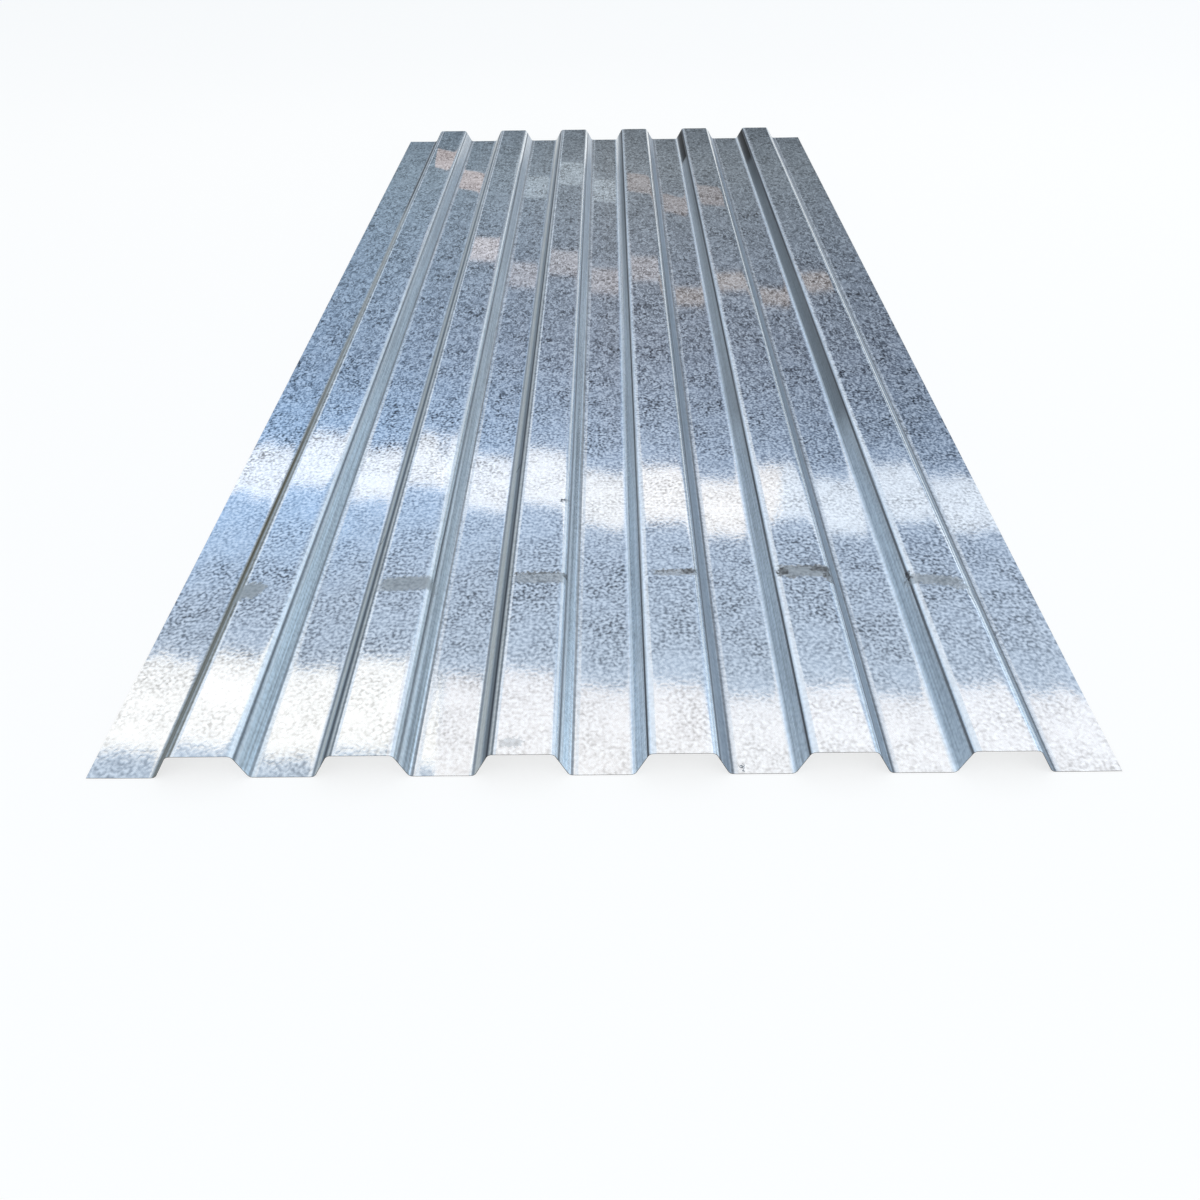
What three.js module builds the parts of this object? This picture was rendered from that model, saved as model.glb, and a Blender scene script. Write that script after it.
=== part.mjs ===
// Corrugated metal sheet: one length of galvanised steel, roll-formed into six flat-topped ribs.
// Millimetres. +X across the ribs, +Y along them, +Z up. The origin is the centre of the sheet's
// length and width, at the level of the undersides of its pans, which is what the sheet lies on.

import * as THREE from 'three';

// What the mill sets.
const sheetLength = 2440; // an 8 ft length
const metalThickness = 0.5;
const ribCount = 6;
const ribPitch = 150;
const profileDepth = 25; // from a pan to a crest, on the same side of the metal
const crestWidth = 61.5; // between the corners where the crest and its webs would meet if bent sharp
const webRun = 13.5; // how far a sloping web reaches sideways
const edgeFlatWidth = 65; // the plain flat at each side, for the side lap
const bendRadius = 5; // to the middle of the metal
const bendCurveSegments = 3; // a bend gets twice this many facets

// What follows from it.
const panWidth = ribPitch - crestWidth - 2 * webRun;
const sheetWidth = ribCount * ribPitch - panWidth + 2 * edgeFlatWidth;
const webAngle = Math.atan2(profileDepth, webRun);
const bendTangent = bendRadius * Math.tan(webAngle / 2); // from a sharp corner to where its bend begins
const panLevel = metalThickness / 2; // the middle of the metal in a pan
const crestLevel = panLevel + profileDepth;

// The four bends of a rib from left to right, each at the sharp corner of the metal's middle line.
function ribBends(centreX) {
  const shoulderReach = crestWidth / 2;
  const footReach = shoulderReach + webRun;
  return [
    { x: centreX - footReach, level: panLevel, isFoot: true, climbing: true },
    { x: centreX - shoulderReach, level: crestLevel, isFoot: false, climbing: true },
    { x: centreX + shoulderReach, level: crestLevel, isFoot: false, climbing: false },
    { x: centreX + footReach, level: panLevel, isFoot: true, climbing: false },
  ];
}

function sheetBends() {
  const bends = [];
  for (let rib = 0; rib < ribCount; rib++) {
    bends.push(...ribBends((rib - (ribCount - 1) / 2) * ribPitch));
  }
  return bends;
}

// A bend's arc on the face that lies offset above the metal's middle line, taken from left to
// right. Both faces turn about the same centre, so the metal keeps its thickness round the bend.
function bendArc(bend, offset) {
  const flatSide = bend.climbing === bend.isFoot ? -1 : 1; // the side on which the flat lies
  const atFlat = bend.isFoot ? -Math.PI / 2 : Math.PI / 2;
  const atWeb = bend.isFoot ? atFlat - flatSide * webAngle : atFlat + flatSide * webAngle;
  return {
    x: bend.x + flatSide * bendTangent,
    y: bend.isFoot ? bend.level + bendRadius : bend.level - bendRadius,
    radius: bend.isFoot ? bendRadius - offset : bendRadius + offset,
    start: flatSide < 0 ? atFlat : atWeb,
    end: flatSide < 0 ? atWeb : atFlat,
    clockwise: !bend.isFoot,
  };
}

// The cut end of the sheet: along the upper face to the right, and back along the lower face.
function sheetSection() {
  const halfMetal = metalThickness / 2;
  const halfWidth = sheetWidth / 2;
  const bends = sheetBends();
  const section = new THREE.Shape();
  section.moveTo(-halfWidth, panLevel - halfMetal);
  section.lineTo(-halfWidth, panLevel + halfMetal);
  for (const bend of bends) {
    const arc = bendArc(bend, halfMetal);
    section.absarc(arc.x, arc.y, arc.radius, arc.start, arc.end, arc.clockwise);
  }
  section.lineTo(halfWidth, panLevel + halfMetal);
  section.lineTo(halfWidth, panLevel - halfMetal);
  for (const bend of bends.toReversed()) {
    const arc = bendArc(bend, -halfMetal);
    section.absarc(arc.x, arc.y, arc.radius, arc.end, arc.start, !arc.clockwise);
  }
  section.closePath();
  return section;
}

function corrugatedSheet() {
  const galvanisedSteel = new THREE.MeshStandardMaterial({
    color: 0xb4c0cb,
    metalness: 1,
    roughness: 0.3,
  });
  const geometry = new THREE.ExtrudeGeometry(sheetSection(), {
    depth: sheetLength,
    curveSegments: bendCurveSegments,
    bevelEnabled: false,
  });
  const sheet = new THREE.Mesh(geometry, galvanisedSteel);
  sheet.name = 'corrugated_sheet';
  // the section stands up along +Z, and the extrusion runs back along -Y
  sheet.rotation.x = Math.PI / 2;
  sheet.position.y = sheetLength / 2;
  return sheet;
}

const part = new THREE.Group();
part.add(corrugatedSheet());

export default part;
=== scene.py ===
import math

import bpy
from mathutils import Matrix, Vector


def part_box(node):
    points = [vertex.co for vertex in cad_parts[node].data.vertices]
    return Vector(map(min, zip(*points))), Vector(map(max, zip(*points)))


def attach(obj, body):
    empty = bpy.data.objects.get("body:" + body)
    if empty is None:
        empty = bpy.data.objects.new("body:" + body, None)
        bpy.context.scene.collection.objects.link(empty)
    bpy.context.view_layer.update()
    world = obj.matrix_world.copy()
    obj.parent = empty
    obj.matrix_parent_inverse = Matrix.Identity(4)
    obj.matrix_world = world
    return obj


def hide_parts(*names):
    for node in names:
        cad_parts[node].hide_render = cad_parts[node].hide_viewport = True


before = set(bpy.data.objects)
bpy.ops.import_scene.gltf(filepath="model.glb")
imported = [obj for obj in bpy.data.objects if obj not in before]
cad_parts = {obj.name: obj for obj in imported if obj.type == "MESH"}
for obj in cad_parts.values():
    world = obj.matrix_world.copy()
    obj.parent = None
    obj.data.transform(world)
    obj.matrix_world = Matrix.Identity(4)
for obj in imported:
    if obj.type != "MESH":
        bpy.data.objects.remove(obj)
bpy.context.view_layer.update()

mm = 0.001
print("frame loaded")


def linear(hexColour):
    # sRGB hex to the linear values that the shaders work in
    parts = [int(hexColour[i:i + 2], 16) / 255 for i in (1, 3, 5)]
    return [c / 12.92 if c <= 0.04045 else ((c + 0.055) / 1.055) ** 2.4 for c in parts] + [1.0]


def add(tree, kind, values=(), **settings):
    # adds a node: settings are its properties, values its inputs by order, number or name. A Map Range
    # has its value, where that starts and ends, and what it gives at the two; a Mix has its numbers as
    # 2 and 3, or its colours as 6 and 7
    node = tree.nodes.new(kind)
    for name, value in settings.items():
        setattr(node, name, value)
    for key, value in values.items() if isinstance(values, dict) else enumerate(values):
        if isinstance(value, bpy.types.Node):
            value = next(s for s in value.outputs if s.enabled)
        if isinstance(value, bpy.types.NodeSocket):
            tree.links.new(value, node.inputs[key])
        elif value is not None:
            node.inputs[key].default_value = value
    return node


# camera

cameraView = {
    "place": (0.0111, -2.1641, 0.7984),
    "lens": 39.33,  # mm
    "sensor": 36,
    "downward": 32.611,  # degrees
    "leftward": 0.648,
    "roll": -0.835,
    "clip": (0.05, 200),
}


def addCamera(view):
    data = bpy.data.cameras.new("camera")
    data.lens = view["lens"]
    data.sensor_width = view["sensor"]
    data.clip_start, data.clip_end = view["clip"]
    camera = bpy.data.objects.new("camera", data)
    bpy.context.scene.collection.objects.link(camera)
    turn = Matrix.Rotation(math.radians(view["leftward"]), 4, "Z")
    tip = Matrix.Rotation(math.radians(90 - view["downward"]), 4, "X")
    roll = Matrix.Rotation(math.radians(view["roll"]), 4, "Z")
    camera.matrix_world = Matrix.Translation(view["place"]) @ turn @ tip @ roll
    bpy.context.scene.camera = camera


addCamera(cameraView)
print("camera placed")


# galvanised steel

zincLook = {
    # the grains, in clumps as wide as they need to be to show from two metres: near the front, and far
    "clump": (3.7 * mm, 5.2 * mm),
    "drawnOut": (1.3, 2.2),  # how much longer than wide, from the pull through the bath and the rolls
    "stray": (0.35, 1.2),  # how ragged they are
    "blendSpread": 1.9,  # makes up for the contrast that a half-and-half mix of the two loses
    "crinkle": (0.015 * mm, 0.004 * mm),  # how high the grains stand
    "zinc": "#E4EAEE",
    "bloom": "#D0D2D2",
    "mostBloom": (0.34, 0.14),  # how much of the dullest grains is dulled
    "pitPatches": 22.0,  # patches of deeper pits, to the metre
    "patchiness": (0.76, 1.24),
    # the webs, which the rolls have smoothed
    "burnished": "#E6EDF2",  # zinc that the rolls have rubbed bright
    # the webs' bloom, partly real oxide and partly a painted reflection of the sky: bluish, and heaviest at
    # the left of the sheet
    "webBloomAndSky": "#BCD0DE",
    "webBloomAndSkyAcross": (0.75, 0.28, 0.50),  # at the left of the sheet, in its middle and at its right
    "webBloomAndSkyLasts": (1.0, 0.4),  # near and far
    "webPits": 0.22,  # pressed nearly flat
    "streaks": (380, 3, 380),  # waves to the metre, as coarse as they need to be to show
    "streakShades": (0.88, 1.23),
    # a painted highlight: pale lines along the bends, standing in for their bright reflections
    "paintedHighlight": "#F2F6F8",
    "highlightLasts": (1.0, 0.45),
    # painted shade lines along the bends, and a painted tint of reflection and shade on the webs
    "bendShade": "#3F4247",
    "paintedOlive": "#5C5847",
    "paintedSlate": "#4E5458",
    "paintedBlue": "#2A4059",
    "paintedCream": "#C2B69C",
    "nearBlack": "#100F0C",
    # how strong the painted web tint is near and far, on webs that face left and on webs that face right
    "leftRibs": ((1.0, 0.84), (0.0, 0.44)),
    "rightRibs": ((0.15, 0.92), (0.68, 0.66)),
    # marks of the strap and of handling
    "scuffed": "#8A9193",
    "clot": "#1E1A1B",
    "caught": (1.0, 0.7),  # how much of a clot stays in the pits, and on the grains
    "ragged": 260.0,  # waves to the metre in a mark's edge
    "raggedReach": 18 * mm,
    # gloss
    "polish": (0.05, 0.02),  # roughness of the bright grains, near and far
    "bloomRoughness": 0.10,
    "formedRoughness": 0.12,
    "scuffRoughness": 0.38,
    "roughnessOfPaintAndDirt": 0.6,
    "specular": (0.5, 0.05),  # bare, and under the painted web tint, which is matte and has little gloss at a low angle
}
# a noise keeps near a half: the levels of it that give none of a mark, and all of it
noiseLevels = {
    "bloom": (0.30, 0.70),
    "pits": (0.24, 0.74),
    "webPits": (0.28, 0.64),
    "patches": (0.32, 0.68),
    "streaks": (0.32, 0.68),
    "caught": (0.35, 0.6),
}
# metres from the sheet's middle, front negative, where a change along it starts and ends
alongSheet = {
    "clumpsWiden": (-0.9, 0.2),
    "grainsFlatten": (-0.1, 0.7),
    "bloomThins": (-0.5, 0.7),
    "webBloomAndSkyThins": (-0.7, 0.9),
    "nearToFar": (-1.1, 0.5),
    "oliveEnds": (0.65, 0.45),
    "blackStarts": (0.93, 0.97),
}
# and across it, left negative
acrossSheet = {
    "leftToMiddle": (-0.38, -0.10),
    "middleToRight": (0.10, 0.38),
    "tighterRib": (-0.20, -0.30),
    "firstRib": (-0.33, -0.37),
    "heavyTint": (0.10, 0.22),
    "nearBlack": (0.15, 0.17),
    # these two go by how far out a web looks, negative where it looks towards the sheet's middle
    "innerSides": (0.06, -0.06),
    "outerSides": (0.0, 0.06),
}
tighter = 2 * mm  # the left-hand ribs were rolled a little tighter, so their lines lie nearer to the middle
ribReach = 60 * mm  # the profiles below stay inside these two reaches
sheetReach = 1250 * mm

# along the sheet in mm: how much darker the metal is between the grains, a painted shade in the hollows of
# the grain relief
pitDepths = [
    (-1220, 0.42), (-1100, 0.42), (-990, 0.70), (-850, 0.70), (-770, 0.52), (-620, 0.52), (-520, 0.80),
    (200, 0.79), (800, 0.74),
]
# the painted tint on the left rib's outer web, and the heavy painted tint on the right ribs' webs that face
# left
oliveStrength = [
    (-1220, 0.82), (-950, 0.90), (-820, 1.0), (-580, 1.0), (-420, 0.85), (100, 0.60), (520, 0.60),
    (680, 1.0),
]
heavyTintAlong = [(-1220, 0.0), (-620, 0.0), (-440, 0.85), (600, 0.90), (850, 1.0)]
# distance from a rib's middle in mm, left of it negative, and the share of the metal that is hidden
# painted shade: dark lines along the bends
bendShadeLines = [
    (-33.3, 0.0), (-32.5, 0.92), (-31.3, 0.92), (-30.5, 0.0), (33.3, 0.0), (34.1, 0.75), (35.2, 0.75),
    (36.0, 0.0), (45.0, 0.0), (46.0, 0.65), (47.6, 0.65), (48.6, 0.0),
]
outerTint = [(33.0, 0.0), (36.0, 0.34), (48.0, 0.34), (51.0, 0.0)]
# painted highlight: where the pale lines lie along the bends
paleShoulders = [
    (-30.8, 0.0), (-29.8, 0.45), (-24.8, 0.45), (-23.6, 0.0), (28.4, 0.0), (29.4, 0.42), (31.0, 0.42),
    (31.8, 0.0),
]
paleCrests = [(-25.8, 0.0), (-25.0, 0.42), (-23.8, 0.42), (-22.8, 0.0)]
paleFeet = [
    (-49.0, 0.0), (-46.5, 0.24), (-43.5, 0.24), (-42.0, 0.0), (35.6, 0.0), (36.4, 0.32), (37.2, 0.32),
    (38.2, 0.0), (48.8, 0.0), (50.0, 0.24), (52.0, 0.24), (53.4, 0.0),
]
outerWebTint = [  # on the left rib it covers the bends, in lines
    (-50.0, 0.0), (-47.6, 0.60), (-46.2, 1.0), (-43.6, 1.0), (-42.2, 0.85), (-39.0, 0.88),
    (-37.0, 0.95), (-35.5, 0.95), (-33.5, 0.85), (-31.8, 0.90), (-30.8, 0.90), (-29.8, 0.25), (-28.4, 0.20),
    (-27.6, 0.75), (-26.6, 0.75), (-25.6, 0.0),
]
rightRibsTint = [
    (-43.5, 0.0), (-40.5, 0.40), (-36.0, 0.85), (-30.5, 1.0), (-28.5, 0.0), (33.0, 0.0), (35.0, 0.9),
    (44.5, 0.9), (47.0, 0.0),
]
leftRibsTint = [  # in lines, cream where it is thin
    (-48.0, 0.0), (-46.4, 0.70), (-45.0, 0.70), (-43.6, 0.54), (-40.0, 0.54), (-37.5, 0.60), (-36.0, 0.85),
    (-31.0, 0.92), (-29.6, 0.62), (-28.6, 0.50), (-27.4, 0.80), (-26.4, 0.80), (-25.4, 0.0), (33.0, 0.0),
    (35.0, 0.9), (44.5, 0.9), (47.0, 0.0),
]
# painted reflection: cream lines along the left ribs' webs
creamLines = [
    (-44.6, 0.0), (-43.4, 1.0), (-39.5, 1.0), (-37.2, 0.0), (-30.2, 0.0), (-29.2, 0.5), (-28.4, 0.5),
    (-27.6, 0.0),
]
darkWeb = [(-44.0, 0.0), (-42.0, 0.85), (-38.5, 0.95), (-33.2, 1.0), (-30.8, 0.0)]
rubs = [  # mm: across, along, half width, half length, turn in degrees, strength
    (-391, -930, 13, 17, -25, 0.85),
    (-404, -948, 7, 6, 0, 0.80),
    (-219, -918, 31, 15, 4, 0.80),
    (-240, -926, 12, 9, 0, 0.50),
    (-70, -908, 30, 12, 0, 0.65),
    (83, -899, 26, 7, 0, 0.50),
    (228, -899, 30, 12, 0, 0.75),
    (372, -920, 30, 11, -12, 0.70),
    (396, -934, 9, 6, 0, 0.55),
    (-85, -1202, 11, 7, 0, 0.30),
]
clots = [
    (-70, -898, 29, 2.2, 0, 0.60),
    (-98, -901, 3, 4, 0, 0.90),
    (-43, -899, 3, 5, 0, 0.90),
    (72, -896, 12, 2.6, 0, 0.55),
    (97, -896.5, 10, 5, 0, 0.85),
    (226, -888, 30, 2.2, 0, 0.45),
    (203, -900, 6, 10, -20, 0.85),
    (213, -912, 4, 4, 0, 0.70),
    (246, -893, 12, 6, 0, 0.80),
    (254, -908, 6, 14, 10, 0.85),
    (-265, -789, 3, 4, 0, 0.80),
    (-47, -725, 5, 4, 30, 0.80),
    (-111, -619, 3, 4, 0, 0.80),
    (344, -905, 3, 9, 0, 0.90),
    (132, -1212, 1.4, 5, 0, 0.80),
]


def byDistance(tree, distance, steps, widest=ribReach):
    # a share that follows a distance, such as that from a rib's middle
    inWidths = add(tree, "ShaderNodeMapRange", (distance, -widest, widest))
    ramp = add(tree, "ShaderNodeValToRGB", (inWidths,))
    elements = ramp.color_ramp.elements
    elements.remove(elements[1])
    elements[0].position = 0.5 + steps[0][0] * mm / widest / 2
    elements[0].color = (steps[0][1],) * 3 + (1,)
    for reach, share in steps[1:]:
        elements.new(0.5 + reach * mm / widest / 2).color = (share,) * 3 + (1,)
    return ramp.outputs["Color"]


def placeOnSheet(tree):
    # where the metal is on the sheet, and on its rib
    place = add(tree, "ShaderNodeTexCoord").outputs["Object"]
    xyz = add(tree, "ShaderNodeSeparateXYZ", (place,)).outputs
    formed, across, side = [add(tree, "ShaderNodeAttribute", attribute_name=name).outputs["Fac"]
                            for name in ("formed", "across", "side")]
    facesRight = add(tree, "ShaderNodeMath", (side, 0.0), operation="GREATER_THAN")
    facing = add(tree, "ShaderNodeMapRange", (facesRight, 0.0, 1.0, -1.0, 1.0))
    fromRib = add(tree, "ShaderNodeMath", (across, facing), operation="MULTIPLY")
    looksOut = add(tree, "ShaderNodeMath", (xyz["X"], facing), operation="MULTIPLY")
    outer = add(tree, "ShaderNodeMapRange", (looksOut, *acrossSheet["outerSides"]))
    firstRib = add(tree, "ShaderNodeMapRange", (xyz["X"], *acrossSheet["firstRib"]))
    shift = add(tree, "ShaderNodeMapRange", (xyz["X"], *acrossSheet["tighterRib"], 0.0, tighter))
    return {
        "place": place,
        "x": xyz["X"],
        "y": xyz["Y"],
        "far": add(tree, "ShaderNodeMapRange", (xyz["Y"], *alongSheet["nearToFar"])),
        "formed": formed,  # 1 on the webs and bends, 0 on the flats
        "facesRight": facesRight,
        "fromRib": fromRib,
        "fromTightRib": add(tree, "ShaderNodeMath", (fromRib, shift), operation="ADD"),
        "inner": add(tree, "ShaderNodeMapRange", (looksOut, *acrossSheet["innerSides"])),
        "outer": outer,
        "outermost": add(tree, "ShaderNodeMath", (firstRib, outer), operation="MULTIPLY"),
    }


def grainNoise(tree, look, at, end):
    stretch = (1, 1 / look["drawnOut"][end], 1)
    drawn = add(tree, "ShaderNodeVectorMath", (at["place"], stretch), operation="MULTIPLY")
    return add(tree, "ShaderNodeTexNoise",
               {"Vector": drawn, "Scale": 1 / look["clump"][end], "Detail": 0.0,
                "Distortion": look["stray"][end]})


def grainMottle(tree, look, at):
    # the near clumps give way to the far ones
    near, far = [grainNoise(tree, look, at, end) for end in (0, 1)]
    farShare = add(tree, "ShaderNodeMapRange", (at["y"], *alongSheet["clumpsWiden"]))
    blend = add(tree, "ShaderNodeMix", {"Factor": farShare, 2: near, 3: far})
    # two noises mixed half and half are flatter than either, so the blend is spread again
    nearShare = add(tree, "ShaderNodeMath", (1.0, farShare), operation="SUBTRACT")
    both = add(tree, "ShaderNodeMath", (farShare, nearShare), operation="MULTIPLY")
    spread = add(tree, "ShaderNodeMath", (both, look["blendSpread"], 1.0), operation="MULTIPLY_ADD")
    off = add(tree, "ShaderNodeMath", (blend, 0.5), operation="SUBTRACT")
    return near, add(tree, "ShaderNodeMath", (off, spread, 0.5), operation="MULTIPLY_ADD")


def flatMetal(tree, look, at, mottle):
    # some grains are dulled, and the pits between them are darker as painted shade in the relief's hollows,
    # and deeper in some patches
    most = add(tree, "ShaderNodeMapRange", (at["y"], *alongSheet["bloomThins"], *look["mostBloom"]),
               interpolation_type="SMOOTHSTEP")
    bloom = add(tree, "ShaderNodeMapRange", (mottle, *noiseLevels["bloom"], 0.0, most))
    colour = add(tree, "ShaderNodeMix",
                 {"Factor": bloom, 6: linear(look["zinc"]), 7: linear(look["bloom"])}, data_type="RGBA")
    patches = add(tree, "ShaderNodeTexNoise",
                  {"Vector": at["place"], "Scale": look["pitPatches"], "Detail": 1.0})
    patchy = add(tree, "ShaderNodeMapRange", (patches, *noiseLevels["patches"], *look["patchiness"]))
    deep = add(tree, "ShaderNodeMath", (byDistance(tree, at["y"], pitDepths, sheetReach), patchy),
               operation="MULTIPLY")
    darkest = add(tree, "ShaderNodeMath", (1.0, deep), operation="SUBTRACT")
    pit = add(tree, "ShaderNodeMapRange", (mottle, *noiseLevels["pits"], darkest, 1.0))
    return bloom, add(tree, "ShaderNodeVectorMath", {0: colour, "Scale": pit}, operation="SCALE")


def webMetal(tree, look, at, mottle):
    # burnished, with fine streaks along it, and a bloom that is partly a painted sky reflection
    stretched = add(tree, "ShaderNodeVectorMath", (at["place"], look["streaks"]), operation="MULTIPLY")
    streak = add(tree, "ShaderNodeTexNoise", {"Vector": stretched, "Scale": 1.0, "Detail": 1.0})
    streaky = add(tree, "ShaderNodeMath", (streak, 0.5), operation="ADD")
    left, middle, right = look["webBloomAndSkyAcross"]
    most = add(tree, "ShaderNodeMapRange", (at["x"], *acrossSheet["leftToMiddle"], left, middle))
    most = add(tree, "ShaderNodeMapRange", (at["x"], *acrossSheet["middleToRight"], most, right))
    lasting = add(tree, "ShaderNodeMapRange", (at["y"], *alongSheet["webBloomAndSkyThins"], *look["webBloomAndSkyLasts"]))
    most = add(tree, "ShaderNodeMath", (most, lasting), operation="MULTIPLY")
    bloom = add(tree, "ShaderNodeMath", (most, streaky), operation="MULTIPLY")
    colour = add(tree, "ShaderNodeMix",
                 {"Factor": bloom, 6: linear(look["burnished"]), 7: linear(look["webBloomAndSky"])},
                 data_type="RGBA")
    # the pits are darkened a little here too, as painted shade
    pit = add(tree, "ShaderNodeMapRange", (mottle, *noiseLevels["webPits"], 1 - look["webPits"], 1.0))
    drawn = add(tree, "ShaderNodeMapRange", (streak, *noiseLevels["streaks"], *look["streakShades"]))
    shade = add(tree, "ShaderNodeMath", (pit, drawn), operation="MULTIPLY")
    return streaky, bloom, add(tree, "ShaderNodeVectorMath", {0: colour, "Scale": shade}, operation="SCALE")


def highlightLines(tree, look, at):
    # the crests' edges towards the sheet's middle and the webs' feet are painted pale: a painted highlight in
    # place of the bends' bright reflections
    shoulders = add(tree, "ShaderNodeMath", (byDistance(tree, at["fromRib"], paleShoulders), at["inner"]),
                    operation="MULTIPLY")
    lasting = add(tree, "ShaderNodeMapRange", (at["far"], 0.0, 1.0, *look["highlightLasts"]))
    shoulders = add(tree, "ShaderNodeMath", (shoulders, lasting), operation="MULTIPLY")
    elsewhere = add(tree, "ShaderNodeMath", (1.0, at["outermost"]), operation="SUBTRACT")
    feet = add(tree, "ShaderNodeMath", (byDistance(tree, at["fromTightRib"], paleFeet), elsewhere),
               operation="MULTIPLY")
    crests = add(tree, "ShaderNodeMath", (byDistance(tree, at["fromRib"], paleCrests), at["outer"]),
                 operation="MULTIPLY")
    highlight = add(tree, "ShaderNodeMath", (shoulders, feet), operation="ADD")
    return add(tree, "ShaderNodeMath", (highlight, crests), operation="ADD")


def webReflectionPaint(tree, look, at):
    # a painted tint of reflection and shade on the webs: olive on the left rib's outer one, slate grey on
    # the others that face left and blue on those that face right, heavier towards the far end and to the
    # right
    onLeft = add(tree, "ShaderNodeMath", (at["x"], 0.0), operation="LESS_THAN")
    facesLeft = add(tree, "ShaderNodeMath", (1.0, at["facesRight"]), operation="SUBTRACT")
    halves = []
    for thicknesses, steps in ((look["rightRibs"], rightRibsTint), (look["leftRibs"], leftRibsTint)):
        sides = [add(tree, "ShaderNodeMapRange", (at["far"], 0.0, 1.0, near, far))
                 for near, far in thicknesses]
        thickness = add(tree, "ShaderNodeMix", {"Factor": at["facesRight"], 2: sides[0], 3: sides[1]})
        halves.append(add(tree, "ShaderNodeMath", (thickness, byDistance(tree, at["fromRib"], steps)),
                          operation="MULTIPLY"))
    slate = add(tree, "ShaderNodeMix", {"Factor": onLeft, 2: halves[0], 3: halves[1]})
    olive = add(tree, "ShaderNodeMath", (at["outermost"], byDistance(tree, at["fromRib"], outerWebTint)),
                operation="MULTIPLY")
    olive = add(tree, "ShaderNodeMath", (olive, byDistance(tree, at["y"], oliveStrength, sheetReach)),
                operation="MULTIPLY")
    outer = add(tree, "ShaderNodeMath", (byDistance(tree, at["fromRib"], outerTint), at["outer"]),
                operation="MULTIPLY")
    # on the right ribs' webs that face left the painted tint is heavy, and the far end is nearly black
    dark = byDistance(tree, at["fromRib"], darkWeb)
    onRight = add(tree, "ShaderNodeMapRange", (at["x"], *acrossSheet["heavyTint"]))
    onRight = add(tree, "ShaderNodeMath", (onRight, facesLeft), operation="MULTIPLY")
    heavy = add(tree, "ShaderNodeMath", (onRight, byDistance(tree, at["y"], heavyTintAlong, sheetReach)),
                operation="MULTIPLY")
    heavy = add(tree, "ShaderNodeMath", (heavy, dark), operation="MULTIPLY")
    # the far end of the last right ribs' webs that face left is nearly black
    atEnd = add(tree, "ShaderNodeMapRange", (at["y"], *alongSheet["blackStarts"]))
    lastRibs = add(tree, "ShaderNodeMapRange", (at["x"], *acrossSheet["nearBlack"]))
    blackened = add(tree, "ShaderNodeMath", (atEnd, lastRibs), operation="MULTIPLY")
    blackened = add(tree, "ShaderNodeMath", (blackened, facesLeft), operation="MULTIPLY")
    black = add(tree, "ShaderNodeMath", (blackened, dark), operation="MULTIPLY")
    paintedTint = slate
    for layer in (olive, outer, heavy, black):
        paintedTint = add(tree, "ShaderNodeMath", (paintedTint, layer), operation="MAXIMUM")

    # the painted tint's colour goes by the way the web faces: slate where it faces left, blue where it faces
    # right
    colour = add(tree, "ShaderNodeMix",
                 {"Factor": at["facesRight"], 6: linear(look["paintedSlate"]), 7: linear(look["paintedBlue"])},
                 data_type="RGBA")
    elsewhere = add(tree, "ShaderNodeMath", (1.0, at["outermost"]), operation="SUBTRACT")
    cream = add(tree, "ShaderNodeMath", (byDistance(tree, at["fromRib"], creamLines), onLeft),
                operation="MULTIPLY")
    cream = add(tree, "ShaderNodeMath", (cream, elsewhere), operation="MULTIPLY")
    beforeEnd = add(tree, "ShaderNodeMapRange", (at["y"], *alongSheet["oliveEnds"]))
    oliveShare = add(tree, "ShaderNodeMath", (at["outermost"], beforeEnd), operation="MULTIPLY")
    for share, tint in ((cream, "paintedCream"), (blackened, "nearBlack"), (oliveShare, "paintedOlive")):
        colour = add(tree, "ShaderNodeMix", {"Factor": share, 6: colour, 7: linear(look[tint])},
                     data_type="RGBA")
    return paintedTint, colour


softEdge = (1.6, 0.3)  # in half sizes to the fourth power: where a smudge begins, and where it is full


def smudgeGroup():
    # how much of the metal a soft-edged patch hides
    tree = bpy.data.node_groups.new("smudge", "ShaderNodeTree")
    tree.interface.new_socket("Share", in_out="OUTPUT", socket_type="NodeSocketFloat")
    for name in ("Place", "Centre", "Half Size"):
        tree.interface.new_socket(name, in_out="INPUT", socket_type="NodeSocketVector")
    for name in ("Turn", "Strength"):
        tree.interface.new_socket(name, in_out="INPUT", socket_type="NodeSocketFloat")
    patch = add(tree, "NodeGroupInput").outputs
    away = add(tree, "ShaderNodeVectorMath", (patch["Place"], patch["Centre"]), operation="SUBTRACT")
    back = add(tree, "ShaderNodeMath", (patch["Turn"], -1.0), operation="MULTIPLY")
    turned = add(tree, "ShaderNodeVectorRotate", {"Vector": away, "Angle": back}, rotation_type="Z_AXIS")
    reach = add(tree, "ShaderNodeVectorMath", (turned, patch["Half Size"]), operation="DIVIDE")
    share = add(tree, "ShaderNodeSeparateXYZ", (reach,)).outputs
    squares = [add(tree, "ShaderNodeMath", (share[way], share[way]), operation="MULTIPLY")
               for way in ("X", "Y")]
    fourths = [add(tree, "ShaderNodeMath", (square, 2.0), operation="POWER") for square in squares]
    total = add(tree, "ShaderNodeMath", fourths, operation="ADD")
    inside = add(tree, "ShaderNodeMapRange", (total, *softEdge), interpolation_type="SMOOTHSTEP")
    hidden = add(tree, "ShaderNodeMath", (inside, patch["Strength"]), operation="MULTIPLY")
    add(tree, "NodeGroupOutput", (hidden,))
    return tree


def smudged(tree, group, place, patches):
    share = 0.0
    for x, y, halfWidth, halfLength, turn, strength in patches:
        patch = add(tree, "ShaderNodeGroup",
                    {"Place": place, "Centre": (x * mm, y * mm, 0),
                     "Half Size": (halfWidth * mm, halfLength * mm, 1), "Turn": math.radians(turn),
                     "Strength": strength}, node_tree=group)
        share = add(tree, "ShaderNodeMath", (share, patch), operation="MAXIMUM")
    return share


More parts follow.
